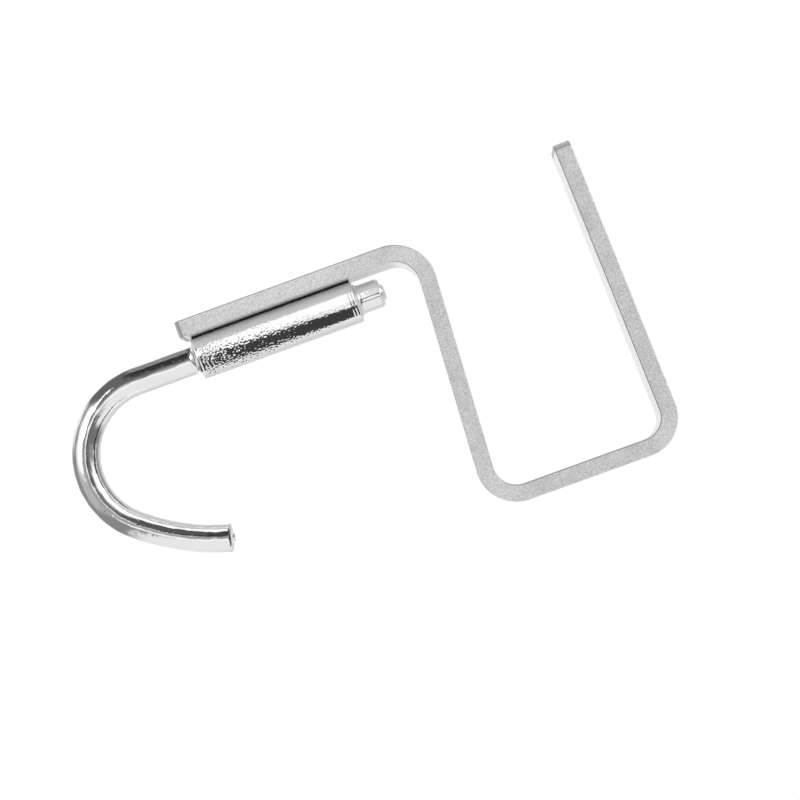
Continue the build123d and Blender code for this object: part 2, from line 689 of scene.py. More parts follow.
@dataclass(frozen=True)
class FaceLine:
    """A flat face of the strip, seen along Y.

    Attributes:
        point: X and Z of a point on the face.
        outward: its unit normal, which points away from the strip's metal.
    """

    point: Array
    outward: Array

    @classmethod
    def from_mount(cls, record: dict, name: str) -> "FaceLine":
        """Reads a face from one of the record's mounts."""
        mount = next(m for m in record["mounts"] if m["name"] == name)
        return cls(np.array(mount["pos_m"])[[0, 2]], np.array(mount["axis"])[[0, 2]])

    def sunk(self, depth: float) -> "FaceLine":
        """The line that runs a depth under the face."""
        return FaceLine(self.point - depth * self.outward, self.outward)

    def meets(self, other: "FaceLine") -> Array:
        """Where two lines cross: the point whose distance along each normal is that line's own."""
        reach = np.array([self.point @ self.outward, other.point @ other.outward])
        return np.linalg.solve(np.stack([self.outward, other.outward]), reach)


@dataclass
class ClampStrip:
    """The flat strip, bent three times, that grips the desktop.

    Attributes:
        corners: where the middle lines of its arm, legs and foot cross, from end to end.
        bend_radii: the inner radii of its three bends, from the arm on.
        edge_radius, end_rounding: the rounding of its long edges and of its ends.
        end_share: how much of an end's rounding its width loses too.
        drawn_in: how much narrower the outer side of a bend is, on each side.
        inner_edge_shade_share, leg_edge_shade_share, chamfer_shade_share: how much painted edge shade shows
        on the inner edges of the arm's bend, on the lower leg and on the chamfers.
        crease_share: half the width of the band of full painted shade where a chamfer starts, in end
            roundings.
    """

    corners: Array
    half_thickness: float
    half_width: float
    bend_radii: tuple[float, ...] = (3.9 * MM, 3.6 * MM, 3.4 * MM)
    arm_chamfer: float = 0.65 * MM
    leg_chamfer: float = 0.85 * MM
    edge_radius: float = 0.2 * MM
    end_rounding: float = 0.1 * MM
    end_share: float = 0.4
    drawn_in: float = 0.3 * MM
    inner_edge_shade_share: float = 0.8
    leg_edge_shade_share: float = 0.1
    chamfer_shade_share: float = 0.18
    crease_share: float = 0.6

    EDGE_POINTS = 6
    FACE_POINTS = 9
    FIRST_STEP_SHARE = 0.3
    FLAT_TOLERANCE = 1e-6

    @classmethod
    def from_frame(cls, record: dict) -> "ClampStrip":
        """Works out the strip's corners from its mounts and its box.

        Args:
            record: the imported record.

        Returns:
            The strip.
        """
        low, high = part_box("clamp_bracket")
        foot = FaceLine.from_mount(record, "edge_face")
        half = (high.x - foot.point[0]) / 2
        upper = FaceLine.from_mount(record, "desktop_face").sunk(half)
        lower = FaceLine.from_mount(record, "under_desk_face").sunk(half)
        arm = FaceLine(np.array([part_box("swivel_barrel")[0].x - half, 0.0]), np.array([1.0, 0.0]))
        arm_end = FaceLine(np.array([0.0, low.z]), np.array([0.0, -1.0]))
        leg_end = FaceLine(np.array([low.x + half * upper.outward[0], 0.0]), np.array([-1.0, 0.0]))
        chain = (arm_end, arm, lower, foot.sunk(half), upper, leg_end)
        return cls(np.array([a.meets(b) for a, b in zip(chain, chain[1:])]), half, high.y)

    def middle_line(self) -> MiddleLine:
        """Runs through the corners with an arc at each bend, and short steps near both ends.

        An arc starts before its corner by its radius times the tangent of half its turn.

        Returns:
            The line.
        """
        runs = np.diff(self.corners, axis=0)
        lengths = np.linalg.norm(runs, axis=1)
        units = runs / lengths[:, None]
        headings = np.arctan2(units[:, 1], units[:, 0])
        turns = np.degrees(np.mod(np.diff(headings) + math.pi, 2 * math.pi) - math.pi)
        radii = np.array(self.bend_radii) + self.half_thickness
        reaches = radii * np.tan(np.radians(np.abs(turns)) / 2)
        straights = lengths - np.concatenate([[0], reaches]) - np.concatenate([reaches, [0]])
        straights[0] -= self.arm_chamfer + self.end_rounding
        straights[-1] -= self.leg_chamfer + self.end_rounding
        maker = LineMaker(self.corners[0], units[0])
        self.add_end(maker, self.arm_chamfer, 1)
        maker.run(straights[0])
        for radius, turn, straight in zip(radii, turns, straights[1:]):
            maker.arc(radius, turn)
            maker.run(straight)
        self.add_end(maker, self.leg_chamfer, -1)
        return maker.done()

    def add_end(self, maker: LineMaker, chamfer: float, way: int) -> None:
        """Adds the short runs over an end's rounding and chamfer, to one rounding past the chamfer.

        Args:
            maker: the line.
            chamfer: the end's chamfer.
            way: 1 where the line starts at this end, and -1 where it stops there.
        """
        rounding = self.end_rounding
        first = rounding * self.FIRST_STEP_SHARE
        steps = [first, rounding - first, chamfer - 1.5 * rounding, rounding / 2, rounding]
        for step in steps[::way]:
            maker.run(step, step)

    def ends(self, travel: Array) -> tuple[Array, Array, Array]:
        """How far each section is drawn in from the full size, and how much painted shade each end gets.

        A chamfer takes off its own size less the distance from the end. Its rounding takes off a
        quarter circle's gap: the radius less the root of its square less the square of the rest.
        An end gets a little painted shade on the chamfer, and full painted shade where the chamfer starts.

        Args:
            travel: the length along the strip at each section.

        Returns:
            The insets along Y and through the thickness, and the painted shade, one number a section.
        """
        across, through, dark = np.zeros((3, len(travel)))
        crease = self.end_rounding * self.crease_share
        for chamfer, distance in ((self.arm_chamfer, travel), (self.leg_chamfer, travel[-1] - travel)):
            rest = np.clip(self.end_rounding - distance, 0, None)
            gap = self.end_rounding - np.sqrt(np.clip(self.end_rounding**2 - rest**2, 0, None))
            across += np.clip(chamfer - distance, 0, None) + gap * self.end_share
            through += gap
            # Painted shade: a little on the chamfer, and full where the chamfer starts.
            dark[distance < chamfer - crease] = self.chamfer_shade_share
            dark[np.abs(distance - chamfer) < crease] = 1
        return across, through, dark

    def section(self) -> Array:
        """One rounded rectangle of unit halves, walked round once.

        Returns:
            Four rows: the signs of the two halves, and the offsets in edge radii, of each point. A
            point lies at sign times (half less edge radius) plus offset times edge radius. A flat
            face has further points, whose signs run evenly between its two edges.
        """
        face_shares = np.linspace(0, 1, self.FACE_POINTS + 2)[1:-1]
        shares = np.append(np.zeros(self.EDGE_POINTS), face_shares)
        turn = np.append(np.linspace(0, 90, self.EDGE_POINTS), np.full(self.FACE_POINTS, 90))
        angle = np.radians(turn + 90 * np.arange(4)[:, None]).ravel()
        signs = np.array([[1, -1, -1, 1], [1, 1, -1, -1]])[:, :, None]
        signs = signs + (np.roll(signs, -1, axis=1) - signs) * shares
        return np.vstack([signs.reshape(2, -1), np.cos(angle), np.sin(angle)])

    def left_edge_shade(self, line: MiddleLine) -> Array:
        """How strong the painted edge shade on the left edges is along the strip.

        It is clear on the arm, fades over the first bend, which turns right, and comes back over the
        first bend that turns left.

        Args:
            line: the middle line.

        Returns:
            One number from the lower leg's share to 1 for each section.
        """
        travel = line.travel
        first = travel[line.bending < 0]
        left_turns = line.bending > 0
        start = int(np.argmax(left_turns))
        stop = start + int(np.argmin(left_turns[start:]))
        fade_share = smooth_step((travel - first[0]) / (first[-1] - first[0]))
        rise_share = smooth_step((travel - travel[start]) / (travel[stop] - travel[start]))
        return 1 - (1 - self.leg_edge_shade_share) * (fade_share - rise_share)

    def build(self) -> bpy.types.Object:
        """Carries the section along the middle line.

        At a bend the outer side is drawn in: each half width loses the draw times the bending times
        the share of the way from the inner side to the outer one. The attribute "line" is painted
        shade: 1 on the rounded edges of the left side, which is the legs' inner side, but not on the
        lower leg, and less on the inner edges of the arm's bend, which turns right. It is 1 as well
        where a chamfer starts. The attribute "rolled" is 1 on the two broad faces.

        Returns:
            The strip's mesh.
        """
        line = self.middle_line()
        inset_across, inset_through, dark = self.ends(line.travel)
        left_sign, across_sign, left_off, across_off = self.section()
        half_left = self.half_thickness - self.edge_radius - inset_through[:, None]
        left = left_sign * half_left + left_off * self.edge_radius
        bend = np.abs(line.bending)[:, None]
        outer_share = (1 - np.sign(line.bending)[:, None] * left / self.half_thickness) / 2
        half_across = self.half_width - self.edge_radius - inset_across[:, None]
        half_across = half_across - self.drawn_in * bend * outer_share
        across = across_sign * half_across + across_off * self.edge_radius
        piece = closed_mesh("clamp_strip", line.carry(left, across), False, line.travel)
        on_edge = np.abs(left_off * across_off) > self.FLAT_TOLERANCE
        left_edge = (on_edge & (left_off > 0)) * self.left_edge_shade(line)[:, None]
        right_edge = (on_edge & (left_off < 0)) * np.clip(-line.bending, 0, 1)[:, None]
        # Painted shade: on the rounded edges, and at the chamfers.
        painted_edge_shade = np.maximum(left_edge + self.inner_edge_shade_share * right_edge, dark[:, None])
        flat = (np.abs(left_off) > 1 - self.FLAT_TOLERANCE) * (inset_across == 0)[:, None]
        for name, values in (("bend", bend), ("line", painted_edge_shade), ("rolled", flat)):
            add_attribute(piece, name, np.broadcast_to(values, left.shape))
        return piece


@dataclass
class SwivelBarrel:
    """The short tube on the arm that the hook turns in.

    Attributes:
        bottom: Z of its lower face.
        rim_width: how wide the smooth ring beside each rim is, and the ring where pebbles start.
        rim_taper, taper_length: how much its radius falls towards each rim, and over what length.
        grooves, groove_depth, groove_pitch: the turned grooves beside each rim.
        fine_share: how high the fine pebbles are, as a share of the others.
        pebble_crest, pebble_depth: the height at which both together are full, and their depth.
        upper_share: how deep pebbles and pits are at the upper end, as a share of the lower.
        arm_share: how deep they are on the arm's side, as a share of the depth opposite.
        arm_fade_share: the share of the radius over which they fade towards the arm.
    """

    axis_x: float
    bottom: float
    length: float
    radius: float
    bore_radius: float = 2.3 * MM
    bore_chamfer: float = 0.15 * MM
    rim_chamfer: float = 0.2 * MM
    rim_width: float = 0.45 * MM
    rim_taper: float = 0.02 * MM
    taper_length: float = 0.7 * MM
    grooves: int = 2
    groove_depth: float = 0.032 * MM
    groove_pitch: float = 0.46 * MM
    pebbles: Ripple = Ripple(0.6 * MM, 220, SEED)
    fine_pebbles: Ripple = Ripple(0.36 * MM, 260, SEED + 1)
    fine_share: float = 0.6
    pebble_crest: float = 2.3
    pebble_depth: float = 0.08 * MM
    pits: Pits = Pits(Ripple(0.55 * MM, 240, SEED + 8), 0.1 * MM, 0.3, 1.3, 1.5)
    upper_share: float = 0.1
    arm_share: float = 0.3
    arm_fade_share: float = 0.5

    AROUND = 252
    WALL_STEP = 0.08 * MM
    RIM_POINTS = 4
    FACE_POINTS = 2

    @classmethod
    def from_frame(cls) -> "SwivelBarrel":
        """Takes the barrel's place and outer size from its box."""
        low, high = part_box("swivel_barrel")
        return cls((low.x + high.x) / 2, low.z, high.z - low.z, (high.x - low.x) / 2)

    def profile(self) -> tuple[Array, Array, Array]:
        """The wall's outline, walked up the outside and down the bore.

        Beside each chamfered rim the wall's radius falls by the taper times the square of the share
        of the taper's length that is left to go, and by the grooves: their depth times (1 less the
        cosine of the way over the pitch) over 2.

        Returns:
            Each point's radius, its height above the lower face, and its share of the pebbles.
        """
        rim_shares = np.linspace(0, 1, self.RIM_POINTS)
        rim_out = self.radius - self.rim_taper - self.rim_chamfer * (1 - rim_shares)
        rim_up = self.rim_chamfer * rim_shares
        top, chamfer = self.length, self.bore_chamfer
        count = int((top - 2 * self.rim_chamfer) / self.WALL_STEP)
        wall_up = np.linspace(self.rim_chamfer, top - self.rim_chamfer, count)[1:-1]
        from_rim = np.minimum(wall_up, top - wall_up) - self.rim_chamfer
        left_share = np.clip(1 - from_rim / self.taper_length, 0, 1)
        turned = (1 - np.cos(from_rim / self.groove_pitch * 2 * math.pi)) / 2
        turned *= from_rim < self.grooves * self.groove_pitch
        wall_out = self.radius - self.rim_taper * left_share**2 - self.groove_depth * turned
        bore_out = self.bore_radius + chamfer * np.array([1, 0, 0, 0, 0, 1])
        bore_up = np.array([top, top - chamfer, top - 2 * chamfer, 2 * chamfer, chamfer, 0.0])
        face_out = np.linspace(rim_out[0], bore_out[0], self.FACE_POINTS + 2)[1:-1]
        face_up = np.zeros(self.FACE_POINTS)
        out = np.concatenate([rim_out, wall_out, rim_out[::-1], face_out, bore_out, face_out[::-1]])
        up = np.concatenate([rim_up, wall_up, top - rim_up[::-1], face_up + top, bore_up, face_up])
        share = np.zeros(len(out))
        wall = slice(self.RIM_POINTS, self.RIM_POINTS + len(wall_up))
        share[wall] = smooth_step((from_rim - self.rim_width) / self.rim_width)
        return out, up, share

    def build(self) -> bpy.types.Object:
        """Turns the outline about the axis and sinks the pebbles into the outer wall.

        A point at angle t lies at radius times sine t along X and minus cosine t along Y. The
        pebbles take off their depth times (1 less the held height) over 2, so the wall never grows.
        Pebbles and pits fade upwards and towards the arm.

        Returns:
            The barrel's mesh.
        """
        out, up, share = self.profile()
        angle = np.linspace(0, 2 * math.pi, self.AROUND, endpoint=False)
        place = (up, angle, self.radius)
        height = self.pebbles.heights(*place) + self.fine_share * self.fine_pebbles.heights(*place)
        height = np.clip(height / self.pebble_crest, -1, 1)
        up_share = 1 - (1 - self.upper_share) * smooth_step(up / self.length)
        side_share = 1 - (1 - self.arm_share) * smooth_step(-np.sin(angle) / self.arm_fade_share)
        pebbled = (share * up_share)[:, None] * side_share
        radius = out[:, None] - pebbled * (self.pebble_depth * (1 - height) / 2 + self.pits.sunk(*place))
        x, y = self.axis_x + radius * np.sin(angle), -radius * np.cos(angle)
        z = np.broadcast_to(self.bottom + up[:, None], radius.shape)
        piece = closed_mesh("barrel_shell", np.stack([x, y, z], -1), True, up)
        add_attribute(piece, "pebbled", pebbled)
        return piece


def outline_rows(travel: Array | float, radius: Array | float) -> Array:
    """Pairs travels with radii, one row for each point of an outline."""
    return np.stack(np.broadcast_arrays(travel, radius), -1).reshape(-1, 2)


@dataclass
class SwivelHook:
    """The polished rod: a pin end, two swaged shoulders, a straight shank, a bowl and a short tip.

    Attributes:
        top: Z of the parting nub at the pin's end.
        barrel_top, barrel_bottom: Z of the barrel's two faces.
        end_play: the gap between each shoulder and the barrel.
        flare_power: how fast a shoulder's flank falls away; more is a hollower flank.
        upper_shoulder, lower_shoulder: how far each flank reaches.
        pin_nub_flat_share: the flat middle of the pin's nub, as a share of its radius.
        pin_nub_offset: how far the pin's nub lies off the axis, away from the arm.
        pin_nub_step_share: the share of its length over which it steps aside.
        bowl_radius, tip_bend_radius: the radii of the middle line.
        tip_edge, soften: the rounding of the tip's edge and of the small edges.
        waviness, streaks, pits: the long unevenness, the short streaks and the sparse pits.
    """

    axis_x: float
    top: float
    barrel_top: float
    barrel_bottom: float
    radius: float = 2.25 * MM
    end_play: float = 0.05 * MM
    shoulder_radius: float = 2.65 * MM
    flare_power: float = 3.5
    upper_shoulder: float = 0.9 * MM
    lower_shoulder: float = 1.3 * MM
    pin_chamfer_length: float = 0.45 * MM
    pin_chamfer_depth: float = 0.3 * MM
    pin_nub_radius: float = 1.325 * MM
    pin_nub_length: float = 0.5 * MM
    pin_nub_flat_share: float = 0.5
    pin_nub_offset: float = 0.14 * MM
    pin_nub_step_share: float = 0.25
    shank_below: float = 10.0 * MM
    bowl_radius: float = 11.76 * MM
    bowl_turn: float = 140.0
    tip_bend_radius: float = 33.5 * MM
    tip_turn: float = 26.0
    tip_edge: float = 0.45 * MM
    tip_nub_radius: float = 0.75 * MM
    tip_nub_length: float = 0.35 * MM
    soften: float = 0.06 * MM
    waviness: Ripple = Ripple(2.4 * MM, 90, SEED + 2, 1.8)
    wave_depth: float = 0.006 * MM
    streaks: Ripple = Ripple(0.75 * MM, 140, SEED + 9, 2.6)
    streak_depth: float = 0.014 * MM
    pits: Pits = Pits(Ripple(0.6 * MM, 160, SEED + 10, 1.3), 0.016 * MM, 1.5)

    AROUND = 144
    STEP = 0.2 * MM
    CORNER_POINTS = 5
    DOME_POINTS = 9
    FLARE_POINTS = 13

    @classmethod
    def from_frame(cls, joint: dict) -> "SwivelHook":
        """Takes the hook's place from its joint, its box and the barrel's box."""
        low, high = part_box("swivel_barrel")
        return cls(joint["pos_m"][0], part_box("hook")[1].z, high.z, low.z)

    def line(self) -> MiddleLine:
        """Runs down the swivel axis, round the bowl and out along the tip, to the end of its nub.

        Returns:
            The rod's middle line.
        """
        maker = LineMaker(np.array([self.axis_x, self.top]), np.array([0.0, -1.0]))
        maker.run(self.top - self.barrel_bottom + self.shank_below, self.STEP)
        for radius, turn in ((self.bowl_radius, self.bowl_turn), (self.tip_bend_radius, self.tip_turn)):
            maker.arc(radius, turn, math.degrees(self.STEP / radius))
        maker.run(self.tip_nub_length, self.STEP)
        return maker.done()

    def corner(self, travel: float, radius: float, length: float, height: float, way: int,
               points: int = CORNER_POINTS) -> Array:
        """A rounded corner of the outline, as a quarter ellipse.

        At angle t the travel is off the face by the length times (1 less cosine t), and the radius
        is under the full one by the height times (1 less sine t).

        Args:
            travel: where the corner's flat face lies.
            radius: the full radius.
            length: the corner's length along the rod.
            height: its height.
            way: 1 where the metal lies further along the rod than the face, and -1 where it ends there.
            points: how many points it has.

        Returns:
            Rows of travel and radius, in order along the rod.
        """
        angle = np.radians(np.linspace(0, 90, points))
        travels = travel + way * length * (1 - np.cos(angle))
        return outline_rows(travels, radius - height * (1 - np.sin(angle)))[::way]

    def shoulder(self, face: float, reach: float, way: int) -> Array:
        """A swaged shoulder: a softened edge and a hollow flank down to the rod.

        The radius over the rod's falls with a power of the share of the flank left to go.

        Args:
            face: where its flat face lies.
            reach: how far its flank reaches.
            way: 1 where the flank lies further along the rod than the face, and -1 where it is before.

        Returns:
            Rows of travel and radius, in order along the rod.
        """
        share = np.linspace(0, 1, self.FLARE_POINTS)[1:]
        radius = self.radius + (self.shoulder_radius - self.radius) * (1 - share) ** self.flare_power
        flank = outline_rows(face + way * (self.soften + share * reach), radius)
        edge = self.corner(face, self.shoulder_radius, self.soften, self.soften, way)
        return np.vstack([edge[::way], flank])[::way]

    def outline(self, length: float) -> Array:
        """The rod's outline, from the pin's nub to the tip's nub.

        Args:
            length: the whole length of the middle line.

        Returns:
            Rows of travel and radius.
        """
        soft, rod, nub, tip_nub = self.soften, self.radius, self.pin_nub_radius, self.tip_nub_radius
        pin_face, tip_face = self.pin_nub_length, length - self.tip_nub_length
        upper = self.top - self.barrel_top - self.end_play
        lower = self.top - self.barrel_bottom + self.end_play
        chamfered = pin_face + self.pin_chamfer_length
        return np.vstack([
            self.corner(0.0, nub, pin_face, nub * (1 - self.pin_nub_flat_share), 1, self.DOME_POINTS),
            outline_rows(pin_face, nub + soft),
            self.corner(pin_face, rod - self.pin_chamfer_depth, soft, soft, 1),
            outline_rows(np.array([chamfered, chamfered + 2 * soft]), rod),
            self.shoulder(upper, self.upper_shoulder, -1),
            outline_rows(np.array([upper, upper + soft, lower - soft, lower]), rod),
            self.shoulder(lower, self.lower_shoulder, 1),
            outline_rows(tip_face - self.tip_edge - soft, rod),
            self.corner(tip_face, rod, self.tip_edge, self.tip_edge, -1),
            outline_rows(np.array([tip_face, tip_face + soft]), np.array([tip_nub + soft, tip_nub])),
            self.corner(length, tip_nub, soft, soft, -1),
        ])

    def build(self) -> bpy.types.Object:
        """Sweeps a circle of the outline's radius along the middle line.

        The line's own points are kept where the outline is plain, so that the bowl stays smooth. A
        slight waviness, short streaks and sparse pits take off up to their own depths from the
        plain stretches: a depth times (1 less the held height) over 2, and what a pit is sunk.

        Returns:
            The hook's mesh.
        """
        line = self.line()
        travel = line.travel
        marks, radii = self.outline(travel[-1]).T
        plain = travel[np.abs(travel[:, None] - marks).min(1) > self.soften]
        merged = np.concatenate([marks, plain])
        size = np.concatenate([radii, np.interp(plain, marks, radii)])
        order = np.argsort(merged, kind="stable")
        merged, size = merged[order], size[order]
        columns = np.hstack([line.points, line.headings]).T
        x, z, heading_x, heading_z = (np.interp(merged, travel, column) for column in columns)
        nub_share = (self.pin_nub_length - merged) / self.pin_nub_length
        x += self.pin_nub_offset * smooth_step(nub_share / self.pin_nub_step_share)
        headings = np.stack([heading_x, heading_z], -1)
        headings /= np.linalg.norm(headings, axis=1)[:, None]
        finer = MiddleLine(np.stack([x, z], -1), headings, np.zeros(len(merged)))
        angle = np.linspace(0, 2 * math.pi, self.AROUND, endpoint=False)
        place = (merged, angle, self.radius)
        waves = self.wave_depth * (1 - self.waviness.held(*place))
        streaks = self.streak_depth * (1 - self.streaks.held(*place))
        plain_size = (np.abs(size - self.radius) < self.soften)[:, None]
        radius = size[:, None] - plain_size * ((waves + streaks) / 2 + self.pits.sunk(*place))
        grid = finer.carry(radius * np.cos(angle), radius * np.sin(angle))
        return closed_mesh("hook_rod", grid, False, merged)


@dataclass
class WeldSeam:
    """An uneven bead in the crevice between the barrel and the arm.

    Attributes:
        low, high: the corners of its box.
        ripple, ripple_depth: the bead's unevenness, and how deep that is.
        hollow: how hollow the bead's face is.
    """

    side: Side
    low: Vector
    high: Vector
    barrel: SwivelBarrel
    ripple: Ripple
    ripple_depth: float = 0.1 * MM
    hollow: float = 0.05 * MM

    STEP = 0.14 * MM
    FACE_POINTS = 9

    @classmethod
    def from_frame(cls, side: Side, barrel: SwivelBarrel) -> "WeldSeam":
        """Takes the seam's place from its node's box."""
        ripple = Ripple(wavelength=1.1 * MM, waves=60, seed=SEED + 5 + side.value, crest=2.0)
        return cls(side, *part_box(side.name.lower() + "_weld"), barrel, ripple)

    def build(self) -> bpy.types.Object:
        """Carries the seam's section up the barrel.

        The section runs out along the arm, over the bead's hollow face and back along the barrel's
        round. The bead's face sinks by its hollow times four t (1 less t), t being the share of the
        way over it, and by the ripple there.

        Returns:
            The seam's mesh.
        """
        root, toe = sorted((abs(self.low.y), abs(self.high.y)))
        up = np.linspace(self.low.z, self.high.z, int((self.high.z - self.low.z) / self.STEP))
        share = np.linspace(0, 1, self.FACE_POINTS)
        axis_x, round_square = self.barrel.axis_x, self.barrel.radius**2
        barrel_y = math.sqrt(max(round_square - (self.high.x - axis_x) ** 2, 0.0))
        back_y = np.linspace(barrel_y, root, self.FACE_POINTS)[1:]
        arm_y = np.linspace(root, toe, self.FACE_POINTS)[:-1]
        stay = np.zeros(self.FACE_POINTS - 1)
        face_x = self.low.x + share * (self.high.x - self.low.x)
        x = np.concatenate([stay + self.low.x, face_x, axis_x - np.sqrt(round_square - back_y**2)])
        y = np.concatenate([arm_y, toe + share * (barrel_y - toe), back_y])
        angle = np.linspace(0, 2 * math.pi, len(x), endpoint=False)
        bulge_share = np.concatenate([stay, 4 * share * (1 - share), stay])
        height = self.ripple.held(up, angle, toe)
        sink = bulge_share * (self.hollow + self.ripple_depth * (1 - height) / 2)
        places = np.broadcast_arrays(x, self.side.value * (y - sink), up[:, None])
        return closed_mesh(self.side.name.lower() + "_bead", np.stack(places, -1), False, up)


# Studio


def add_sheet(name: str, corners: list, material: bpy.types.Material) -> bpy.types.Object:
    """Adds a flat sheet, which is stage and no part of the object.

    Args:
        name: the sheet's name.
        corners: where its corners lie, in order round it.
        material: its finish.

    Returns:
        The sheet.
    """
    mesh = bpy.data.meshes.new(name)
    mesh.from_pydata(corners, [], [range(len(corners))])
    mesh.materials.append(material)
    sheet = add_item(name, mesh)
    return sheet


@dataclass(frozen=True)
class Viewpoint:
    """The photograph's camera.

    Attributes:
        lens, sensor: its focal length and its sensor's width, in millimetres.
        reach: the nearest and the farthest that it sees.
    """

    place: tuple[float, float, float] = (-0.95 * MM, -359.6 * MM, -15.92 * MM)
    aim: tuple[float, float, float] = (-18.37 * MM, 0.0, -23.0 * MM)
    roll: float = 70.09
    lens: float = 105.94
    sensor: float = 36.0
    reach: Span = (0.01, 20.0)

    def build(self) -> None:
        """Makes the scene's camera, with the world's up laid into the picture and turned by the roll."""
        camera = bpy.data.cameras.new("photo_view")
        camera.lens, camera.sensor_width = self.lens, self.sensor
        camera.clip_start, camera.clip_end = self.reach
        back = Vector(self.place) - Vector(self.aim)
        upright = back.to_track_quat("Z", "Y").to_matrix().to_4x4()
        item = add_item("photo_view", camera)
        rolled = upright @ Matrix.Rotation(math.radians(self.roll), 4, "Z")
        item.matrix_world = Matrix.Translation(self.place) @ rolled
        bpy.context.scene.camera = item


@dataclass(frozen=True)
class PictureAxes:
    """The picture's right and up, and the direction towards the camera, in the part's frame.

    Attributes:
        roll: how far the picture's right is turned from the part's up towards its front.
    """

    roll: float = 19.9

    def place(self, right: float, up: float, towards: float) -> Vector:
        """The place at given distances along the three directions."""
        cosine, sine = math.cos(math.radians(self.roll)), math.sin(math.radians(self.roll))
        return Vector((sine * right - cosine * up, -towards, cosine * right + sine * up))

    def heading(self, polar: float, azimuth: float) -> Vector:
        """A direction, by its angle from the camera's and its angle in the picture from the right up."""
        tilt, turn = math.radians(polar), math.radians(azimuth)
        return self.place(math.sin(tilt) * math.cos(turn), math.sin(tilt) * math.sin(turn), math.cos(tilt))


@dataclass(frozen=True)
class Card:
    """A flat card that only the first reflection in metal shows, set parallel to the picture.

    Attributes:
        corners: how far each corner is to the picture's right and up, in millimetres.
        height: how far it is towards the camera, in millimetres.
        level: how bright it is.
    """

    name: str
    corners: tuple[Span, ...]
    height: float
    level: float

    HIDDEN_FROM = ("camera", "diffuse", "transmission", "volume_scatter", "shadow")

    def build(self, axes: PictureAxes) -> None:
        """Makes the card, which is clear to all light but the first reflection.

        Args:
            axes: the picture's directions.
        """
        material = bpy.data.materials.new(self.name)
        material.use_nodes = True
        material.cycles.emission_sampling = "NONE"
        bench = NodeBench(material.node_tree)
        glow = bench.add("Emission", color=(self.level,) * 3).outputs[0]
        chosen = bench.add("MixShader")
        clear = bench.add("BsdfTransparent").outputs[0]
        for target, value in zip(chosen.inputs, (bench.deeper_than(FIRST_REFLECTION), glow, clear)):
            bench.feed(target, value)
        bench.add("OutputMaterial", surface=chosen.outputs[0])
        places = [axes.place(right, up, self.height) * MM for right, up in self.corners]
        card = add_sheet(self.name, places, material)
        for kind in self.HIDDEN_FROM:
            setattr(card, "visible_" + kind, False)


class Sky:
    """The directions of the room, as numbers that its shades use."""

    def __init__(self, bench: NodeBench, axes: PictureAxes) -> None:
        """Takes each direction apart along the picture's axes.

        Args:
            bench: the room's nodes.
            axes: the picture's directions.
        """
        self.bench, self.axes = bench, axes
        self.direction = bench.add("TexCoord").outputs["Generated"]
        self.beside = self.along(axes.place(1, 0, 0))
        self.above = self.along(axes.place(0, 1, 0))
        self.polar = self.angle(self.along(axes.place(0, 0, 1)))
        squares = [bench.work_out("MULTIPLY", part, part) for part in (self.beside, self.above)]
        self.reach = bench.work_out("SQRT", bench.work_out("ADD", *squares))

    def along(self, heading: Vector) -> Socket:
        """The share of a direction along a heading, which is the cosine of the angle between them."""
        return self.bench.work_out("DOT_PRODUCT", self.direction, heading, kind="VectorMath")

    def angle(self, cosine: Socket) -> Socket:
        """The angle of a cosine, in degrees."""
        return self.bench.work_out("DEGREES", self.bench.work_out("ARCCOSINE", cosine))

    def inside(self, value: Socket, limit: float, softness: float, levels: Span = (1, 0)) -> Socket:
        """1 below a limit and 0 above it, or two other levels, with a soft change."""
        return self.bench.spread(value, (limit - softness / 2, limit + softness / 2), levels, True)


@dataclass(frozen=True)
class Fan:
    """A part of the room between two azimuths and two polar angles.

    Attributes:
        azimuth: the middle of its azimuths, from the picture's right towards its top.
        half_width: how far it goes to both sides.
        near, far: its least and greatest angle from the camera's direction.
        side_softness, end_softness: how far its sides and its ends fade.
        level: how bright it is.
    """

    name: str
    azimuth: float
    half_width: float
    near: float
    far: float
    side_softness: float
    end_softness: float
    level: float

    def share(self, sky: Sky) -> Socket:
        """1 inside the part and 0 outside it.

        The sideways angle is the arc cosine of the direction's share along the middle azimuth over
        its reach in the picture.

        Args:
            sky: the room's directions.

        Returns:
            The share.
        """
        turn, work_out = math.radians(self.azimuth), sky.bench.work_out
        rightward = work_out("MULTIPLY", sky.beside, math.cos(turn))
        facing = work_out("ADD", rightward, work_out("MULTIPLY", sky.above, math.sin(turn)))
        sideways = sky.angle(work_out("DIVIDE", facing, sky.reach))
        whole = sky.inside(sideways, self.half_width, self.side_softness)
        if self.near > 0:
            beyond = sky.inside(sky.polar, self.near, self.end_softness, (0, 1))
            whole = work_out("MULTIPLY", whole, beyond)
        if self.far < 180:
            whole = work_out("MULTIPLY", whole, sky.inside(sky.polar, self.far, self.end_softness))
        return whole


@dataclass(frozen=True)
class Glow:
    """A round soft light at one place in the room.

    Attributes:
        azimuth, polar: its angle from the picture's right, and from the camera's direction.
        radius: where it has faded by half.
        softness: how far its edge fades.
        level: how bright it is.
    """

    name: str
    azimuth: float
    polar: float
    radius: float
    softness: float
    level: float

    def share(self, sky: Sky) -> Socket:
        """1 in the middle and 0 outside it."""
        middle = sky.axes.heading(self.polar, self.azimuth)
        return sky.inside(sky.angle(sky.along(middle)), self.radius, self.softness)


